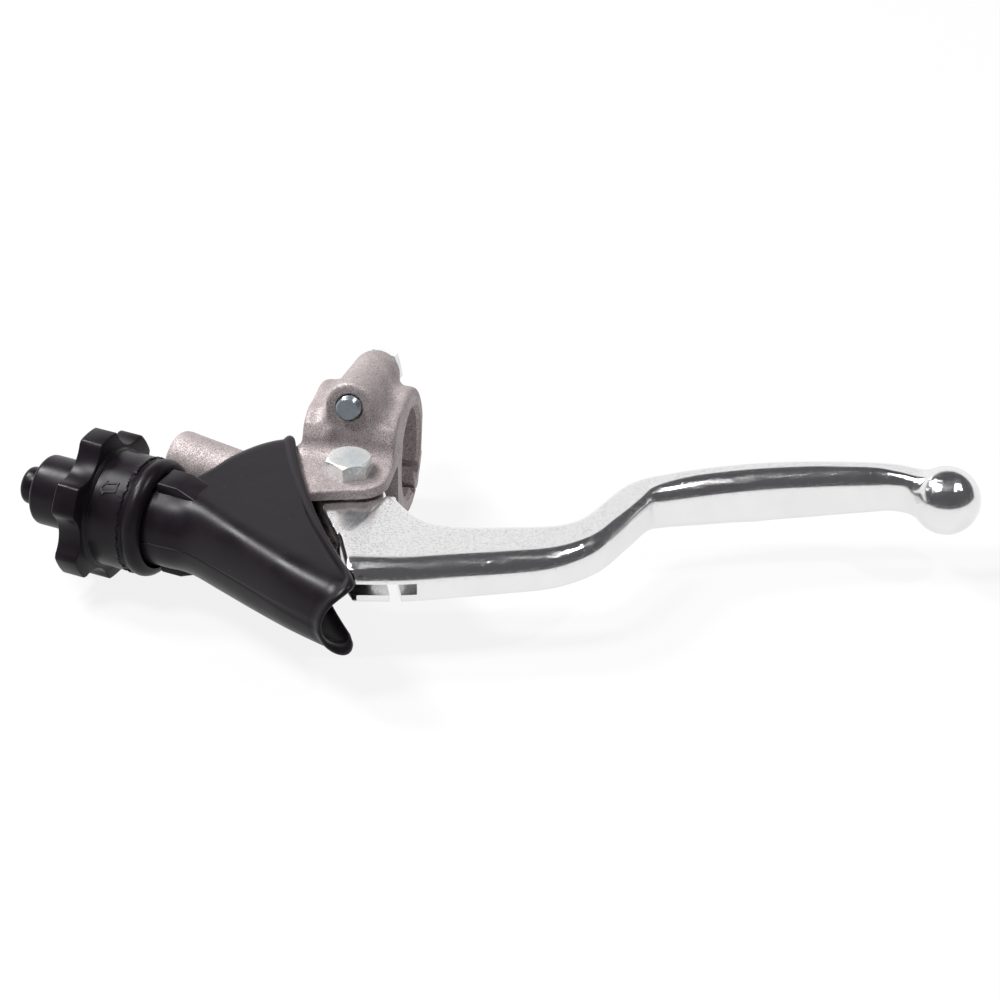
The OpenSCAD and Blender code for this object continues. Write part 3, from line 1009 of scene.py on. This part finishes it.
class Paint:
    """Node material built step by step on a Principled shader."""

    def __init__(self, name, **values):
        self.mat = bpy.data.materials.new(name)
        self.mat.use_nodes = True
        self.tree = self.mat.node_tree
        self.shader = self.tree.nodes["Principled BSDF"]
        for key, value in values.items():
            self.shader.inputs[key.replace("_", " ")].default_value = value
        self.place = self.tree.nodes.new("ShaderNodeTexCoord").outputs["Object"]

    def join(self, a, b):
        self.tree.links.new(a, b)

    def noise(self, size, detail=3.0, rough=0.5):
        """Noise with features of about size millimetres."""
        node = self.tree.nodes.new("ShaderNodeTexNoise")
        node.inputs["Scale"].default_value = 1000 / size
        node.inputs["Detail"].default_value = detail
        node.inputs["Roughness"].default_value = rough
        self.join(self.place, node.inputs["Vector"])
        return node.outputs["Fac"]

    def cells(self, size):
        """Distance to scattered points about size millimetres apart."""
        node = self.tree.nodes.new("ShaderNodeTexVoronoi")
        node.inputs["Scale"].default_value = 1000 / size
        self.join(self.place, node.inputs["Vector"])
        return node.outputs["Distance"]

    def beyond(self, axis, limit, sign=1):
        """One where the coordinate is past limit metres, else zero."""
        parts = self.tree.nodes.new("ShaderNodeSeparateXYZ")
        self.join(self.place, parts.inputs[0])
        test = self.tree.nodes.new("ShaderNodeMath")
        test.operation = "GREATER_THAN" if sign > 0 else "LESS_THAN"
        test.inputs[1].default_value = limit
        self.join(parts.outputs[axis], test.inputs[0])
        return test.outputs[0]

    def both(self, a, b):
        """One where both sources are one."""
        node = self.tree.nodes.new("ShaderNodeMath")
        node.operation = "MULTIPLY"
        self.join(a, node.inputs[0])
        self.join(b, node.inputs[1])
        return node.outputs[0]

    def ramp(self, source, *stops):
        """Stops are (position, value or colour)."""
        node = self.tree.nodes.new("ShaderNodeValToRGB")
        while len(node.color_ramp.elements) < len(stops):
            node.color_ramp.elements.new(0.5)
        for element, (position, value) in zip(node.color_ramp.elements, stops):
            element.position = position
            colour = (value,) * 3 if isinstance(value, (int, float)) else value
            element.color = (*colour, 1)
        self.join(source, node.inputs["Fac"])
        return node.outputs["Color"]

    def mix(self, a, b, blend="MIX", share=0.5):
        """Blend of two colours, each a socket or three values."""
        node = self.tree.nodes.new("ShaderNodeMix")
        node.data_type = "RGBA"
        node.blend_type = blend
        for socket, value in ((node.inputs[6], a), (node.inputs[7], b), (node.inputs[0], share)):
            if isinstance(value, bpy.types.NodeSocket):
                self.join(value, socket)
            else:
                socket.default_value = value if socket.type == "VALUE" else (*value, 1)
        return node.outputs[2]

    def bump(self, source, height, strength=1.0, after=None):
        """Bump whose full range is height millimetres."""
        node = self.tree.nodes.new("ShaderNodeBump")
        node.inputs["Strength"].default_value = strength
        node.inputs["Distance"].default_value = height * MM
        self.join(source, node.inputs["Height"])
        if after:
            self.join(after, node.inputs["Normal"])
        return node.outputs["Normal"]

    def use(self, socket, source):
        self.join(source, self.shader.inputs[socket])


def cast_aluminium():
    """Tumbled die casting: fine sparkling grain over faint patches."""
    p = Paint("cast_aluminium", Metallic=0.7, Specular_IOR_Level=0.4)
    grain = p.noise(0.28, 2, 0.6)
    patch = p.noise(6, 3)
    colour = p.ramp(patch, (0.35, (0.315, 0.276, 0.274)), (0.65, (0.38, 0.336, 0.334)))
    speck = p.ramp(grain, (0.34, 0.6), (0.5, 1.0), (0.68, 1.5))
    p.use("Base Color", p.mix(colour, speck, "MULTIPLY", 1.0))
    p.use("Roughness", p.ramp(grain, (0.3, 0.76), (0.7, 0.6)))
    coarse = p.bump(p.noise(0.9, 3, 0.6), 0.04, 0.6)
    p.use("Normal", p.bump(grain, 0.04, 0.9, coarse))
    return p.mat


def polished_aluminium():
    """Hand-polished metal with soft waves and a few pits."""
    p = Paint("polished_aluminium", Metallic=1.0)
    pits = p.ramp(p.noise(0.34, 2, 0.5), (0.3, 0.0), (0.42, 1.0))
    cloud = p.noise(9, 4, 0.6)
    p.use("Base Color", p.ramp(cloud, (0.3, (0.79, 0.785, 0.79)), (0.7, (0.83, 0.825, 0.825))))
    p.use("Roughness", p.ramp(cloud, (0.3, 0.1), (0.7, 0.16)))
    wave = p.bump(p.noise(2.2, 2), 0.012, 0.5)
    fine = p.bump(p.noise(0.22, 2), 0.009, 0.7, wave)
    p.use("Normal", p.bump(pits, 0.02, 0.7, fine))
    return p.mat


def bright_zinc():
    """Plated steel, with the clamp bolt's tip in its recess painted dark grey as painted shade and
    reflection.
    """
    p = Paint("bright_zinc", Metallic=0.63)
    cloud = p.noise(2.5, 4, 0.6)
    plated = p.ramp(cloud, (0.3, (0.64, 0.69, 0.72)), (0.55, (0.76, 0.79, 0.78)),
                    (0.75, (0.81, 0.81, 0.74)))
    # painted shade: the clamp bolt's tip in front of the boss is coloured dark grey in place of
    # what it would reflect
    tip_painted_shade = p.both(p.beyond("Y", -0.015, -1), p.beyond("Z", 0.0155))
    p.use("Base Color", p.mix(plated, (0.2, 0.225, 0.25), "MIX", tip_painted_shade))
    p.use("Roughness", p.ramp(p.noise(2.0, 3), (0.3, 0.2), (0.7, 0.3)))
    p.use("Normal", p.bump(p.noise(1.2, 2), 0.006, 0.5))
    return p.mat


def black_rubber():
    """Slightly shiny rubber with a few grains of dust."""
    p = Paint("black_rubber", Metallic=0.0, Specular_IOR_Level=0.13)
    cloud = p.noise(8, 4, 0.6)
    colour = p.ramp(cloud, (0.3, (0.0072, 0.0055, 0.0074)), (0.7, (0.0105, 0.0082, 0.0108)))
    dust = p.ramp(p.cells(3.4), (0.02, 1.0), (0.035, 0.0))
    p.use("Base Color", p.mix(colour, (0.12, 0.11, 0.11), "MIX", dust))
    p.use("Roughness", p.ramp(cloud, (0.3, 0.27), (0.7, 0.38)))
    fine = p.bump(p.noise(0.3, 3, 0.6), 0.015, 0.5)
    p.use("Normal", p.bump(p.noise(5, 3), 0.1, 0.35, fine))
    return p.mat


def bronze():
    p = Paint("bronze", Metallic=1.0)
    p.use("Base Color", p.ramp(p.noise(1.5, 4), (0.3, (0.5, 0.3, 0.13)), (0.7, (0.66, 0.43, 0.2))))
    p.use("Roughness", p.ramp(p.noise(0.5, 3), (0.3, 0.28), (0.7, 0.46)))
    p.use("Normal", p.bump(p.noise(0.3, 3), 0.02, 0.6))
    return p.mat


def machined_aluminium():
    p = Paint("machined_aluminium", Metallic=1.0)
    p.use("Base Color", p.ramp(p.noise(3, 4), (0.3, (0.62, 0.62, 0.63)), (0.7, (0.74, 0.74, 0.75))))
    p.use("Roughness", p.ramp(p.noise(0.3, 3), (0.3, 0.24), (0.7, 0.4)))
    p.use("Normal", p.bump(p.noise(0.15, 2), 0.01, 0.6))
    return p.mat


def bright_steel():
    p = Paint("bright_steel", Metallic=1.0)
    p.use("Base Color", p.ramp(p.noise(1, 3), (0.3, (0.58, 0.58, 0.59)), (0.7, (0.68, 0.68, 0.68))))
    p.use("Roughness", p.ramp(p.noise(0.4, 3), (0.3, 0.14), (0.7, 0.26)))
    p.use("Normal", p.bump(p.noise(0.2, 2), 0.008, 0.5))
    return p.mat


def nylon():
    p = Paint("nylon", Metallic=0.0, Subsurface_Weight=0.1)
    p.use("Base Color", p.ramp(p.noise(1, 3), (0.3, (0.05, 0.1, 0.4)), (0.7, (0.08, 0.14, 0.5))))
    p.use("Roughness", p.ramp(p.noise(0.4, 3), (0.3, 0.35), (0.7, 0.5)))
    p.use("Normal", p.bump(p.noise(0.3, 2), 0.01, 0.5))
    return p.mat


def dress(obj, material):
    obj.data.materials.clear()
    obj.data.materials.append(material)


# ---------------------------------------------------------------- assembly

def add(obj, body, node, material):
    dress(obj, material)
    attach(obj, body)
    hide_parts(node)


CAST = cast_aluminium()
POLISHED = polished_aluminium()
ZINC = bright_zinc()
RUBBER = black_rubber()
BRONZE = bronze()
MACHINED = machined_aluminium()
STEEL = bright_steel()
NYLON = nylon()

perch, cap = split(casting())
add(perch, "perch", "perch_body", CAST)
add(cap, "perch", "clamp_cap", CAST)
add(clamp_bolt(), "perch", "clamp_bolt", ZINC)
add(pivot_bolt(), "perch", "pivot_bolt", ZINC)
add(pivot_nut(), "perch", "pivot_nut", ZINC)
add(dust_boot(), "perch", "dust_boot", RUBBER)
add(detent_springs(), "perch", "detent_springs", STEEL)
add(lever_blade(), "lever", "lever_blade", POLISHED)
add(dial_cover(), "dial", "dial_cover", RUBBER)
add(adjuster_screw(), "dial", "adjuster_screw", ZINC)
add(cable_seal(), "cable_end", "cable_seal", RUBBER)
for node, material in (("nut_insert", NYLON), ("detent_balls", STEEL), ("pivot_bush", BRONZE),
                       ("dial_hub", MACHINED), ("cable_seat", STEEL)):
    dress(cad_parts[node], material)


# ---------------------------------------------------------------- studio

CAMERA_PLACE = Vector((0.181914, -0.783928, 0.462583))
CAMERA_TURN = 10.7
CAMERA_HEIGHT = 30.7
CAMERA_LENS = 136.08
DARK_SIDE = (0.3, -0.6, 1.0)


def studio_floor(z):
    """Pale floor that glows a little, so that shadows stay light."""
    mesh = bpy.data.meshes.new("floor")
    half = 6.0
    corners = [(-half, -half, z), (half, -half, z), (half, half, z), (-half, half, z)]
    mesh.from_pydata(corners, [], [[0, 1, 2, 3]])
    floor = link("floor", mesh)
    p = Paint("floor_white", Roughness=0.9, Specular_IOR_Level=0.0, Emission_Strength=0.86)
    p.shader.inputs["Emission Color"].default_value = (1, 1, 1, 1)
    p.use("Base Color", p.ramp(p.noise(400, 2), (0.3, 0.078), (0.7, 0.084)))
    dress(floor, p.mat)


def area_light(name, place, target, size, power):
    data = bpy.data.lights.new(name, "AREA")
    data.shape = "RECTANGLE"
    data.size = size
    data.size_y = size
    data.energy = power
    light = bpy.data.objects.new(name, data)
    bpy.context.scene.collection.objects.link(light)
    light.location = place
    light.rotation_euler = (Vector(target) - Vector(place)).to_track_quat("-Z", "Y").to_euler()


def studio_world():
    """White surround near the horizon, darker overhead where the softboxes hang."""
    world = bpy.data.worlds.new("studio")
    bpy.context.scene.world = world
    world.use_nodes = True
    tree = world.node_tree
    back = tree.nodes["Background"]
    where = tree.nodes.new("ShaderNodeTexCoord")
    ramp = tree.nodes.new("ShaderNodeValToRGB")
    lean = tree.nodes.new("ShaderNodeVectorMath")
    lean.operation = "DOT_PRODUCT"
    lean.inputs[1].default_value = DARK_SIDE
    tree.links.new(where.outputs["Generated"], lean.inputs[0])
    tree.links.new(lean.outputs["Value"], ramp.inputs["Fac"])
    bright, dark = ramp.color_ramp.elements
    bright.position = 0.03
    bright.color = (1, 1, 1, 1)
    dark.position = 0.1
    dark.color = (0.095, 0.093, 0.1, 1)
    tree.links.new(ramp.outputs["Color"], back.inputs["Color"])
    back.inputs["Strength"].default_value = 1.05


def studio_camera():
    data = bpy.data.cameras.new("camera")
    data.sensor_width = 36
    data.lens = CAMERA_LENS
    camera = bpy.data.objects.new("camera", data)
    bpy.context.scene.collection.objects.link(camera)
    a = math.radians(CAMERA_TURN)
    e = math.radians(CAMERA_HEIGHT)
    right = Vector((math.cos(a), math.sin(a), 0))
    up = Vector((-math.sin(e) * math.sin(a), math.sin(e) * math.cos(a), math.cos(e)))
    back = right.cross(up)
    camera.matrix_world = axes(CAMERA_PLACE, right, up, back)
    bpy.context.scene.camera = camera


studio_floor(cad_box[0][2] - MM)
area_light("soft_left", (-0.5, -0.3, 1.15), (0, 0, 0), 0.3, 15)
area_light("soft_back", (-0.72, 0.2, 0.95), (0, 0, 0), 0.24, 13)
area_light("soft_right", (0.76, -0.05, 1.1), (0.05, 0, 0), 0.12, 7)
studio_world()
studio_camera()
bpy.context.scene.view_settings.view_transform = "Standard"
